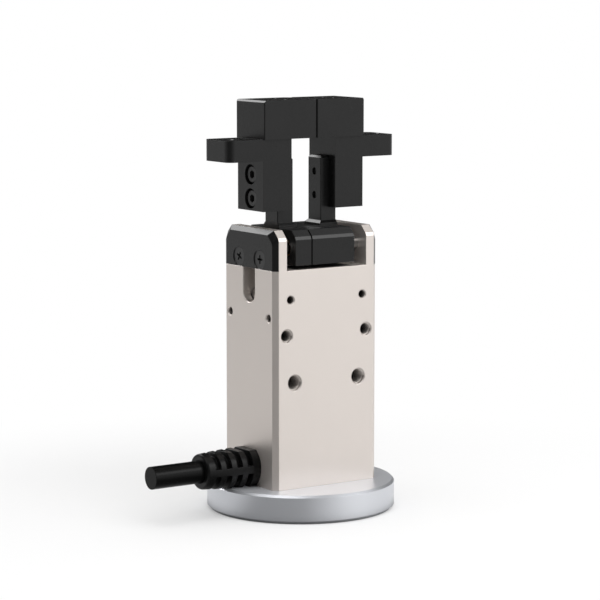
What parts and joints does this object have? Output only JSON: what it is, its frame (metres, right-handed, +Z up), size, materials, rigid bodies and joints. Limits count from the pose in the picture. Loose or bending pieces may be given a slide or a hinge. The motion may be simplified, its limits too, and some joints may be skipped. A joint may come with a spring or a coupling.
{
  "type": "electromagnetic two-finger gripper",
  "caption": "Slim parallel-jaw gripper on a round tool flange, with two interlocked jaw carriages driven by an electromagnet through bell-crank levers.",
  "frame": {"origin": "centre of the flange's underside", "axes": "+Z up from the flange through the housing to the finger heads, X along the jaws' travel with the cable at -X, -Y the front"},
  "size_m": [0.0919, 0.063, 0.137],
  "materials": {
    "anodised_aluminium": "fine satin anodised, warm light grey",
    "flange_aluminium": "turned and satin anodised, cool grey",
    "black_aluminium": "milled aluminium, matte black anodised",
    "ground_steel": "hardened and ground",
    "bright_steel": "plain bright",
    "black_oxide_steel": "black oxide",
    "hardened_steel": "machined and hardened, slightly oiled",
    "soft_iron": "turned, nickel plated",
    "bearing_bronze": "sintered bronze",
    "enamelled_copper": "enamelled copper wire",
    "bobbin_nylon": "glass filled nylon",
    "board_laminate": "green laminate",
    "component_plastic": "moulded black",
    "relief_rubber": "moulded, satin black",
    "cable_sheath": "smooth black sheath"
  },
  "bodies": {
    "base": {"mounting_flange": "flange_aluminium", "flange_screws": "black_oxide_steel", "flange_dowels": "ground_steel", "housing": "anodised_aluminium", "left_end_cover": "black_aluminium", "right_end_cover": "black_aluminium", "end_cover_screws": "black_oxide_steel", "front_guide_shaft": "ground_steel", "rear_guide_shaft": "ground_steel", "lever_pivot_pins": "ground_steel", "magnet_yoke": "soft_iron", "magnet_pole": "soft_iron", "coil_bobbin": "bobbin_nylon", "coil_winding": "enamelled_copper", "return_spring": "bright_steel", "snap_ring": "black_oxide_steel", "terminal_board": "board_laminate", "board_components": "component_plastic", "board_screws": "bright_steel", "strain_relief": "relief_rubber", "cable": "cable_sheath"},
    "left_jaw": {"left_carriage": "black_aluminium", "left_carriage_bushes": "bearing_bronze", "left_finger_block": "black_aluminium", "left_block_screws": "black_oxide_steel"},
    "right_jaw": {"right_carriage": "black_aluminium", "right_carriage_bushes": "bearing_bronze", "right_finger_block": "black_aluminium", "right_block_screws": "black_oxide_steel"},
    "left_lever_arm": {"left_lever": "hardened_steel"},
    "right_lever_arm": {"right_lever": "hardened_steel"},
    "plunger": {"ram": "soft_iron", "drive_pin": "ground_steel"}
  },
  "joints": [
    {"name": "left_jaw_slide", "type": "slide", "parent": "base", "child": "left_jaw", "axis": [-1, 0, 0], "range_m": [0, 0.004]},
    {"name": "right_jaw_slide", "type": "slide", "parent": "base", "child": "right_jaw", "axis": [1, 0, 0], "range_m": [0, 0.004]},
    {"name": "left_lever_hinge", "type": "hinge", "parent": "base", "child": "left_lever_arm", "pos_m": [-0.0143, 0, 0.07235], "axis": [0, -1, 0], "range_deg": [0, 16.45]},
    {"name": "right_lever_hinge", "type": "hinge", "parent": "base", "child": "right_lever_arm", "pos_m": [0.0143, 0, 0.07235], "axis": [0, 1, 0], "range_deg": [0, 16.45]},
    {"name": "plunger_slide", "type": "slide", "parent": "base", "child": "plunger", "axis": [0, 0, 1], "range_m": [0, 0.00415], "deforming": ["return_spring"]}
  ],
  "couplings": [
    {"joint": "right_jaw_slide", "follows": "left_jaw_slide", "ratio": 1},
    {"joint": "left_lever_hinge", "follows": "left_jaw_slide", "rad_per_m": 71.7},
    {"joint": "right_lever_hinge", "follows": "left_jaw_slide", "rad_per_m": 71.7},
    {"joint": "plunger_slide", "follows": "left_jaw_slide", "ratio": 1.0326}
  ]
}
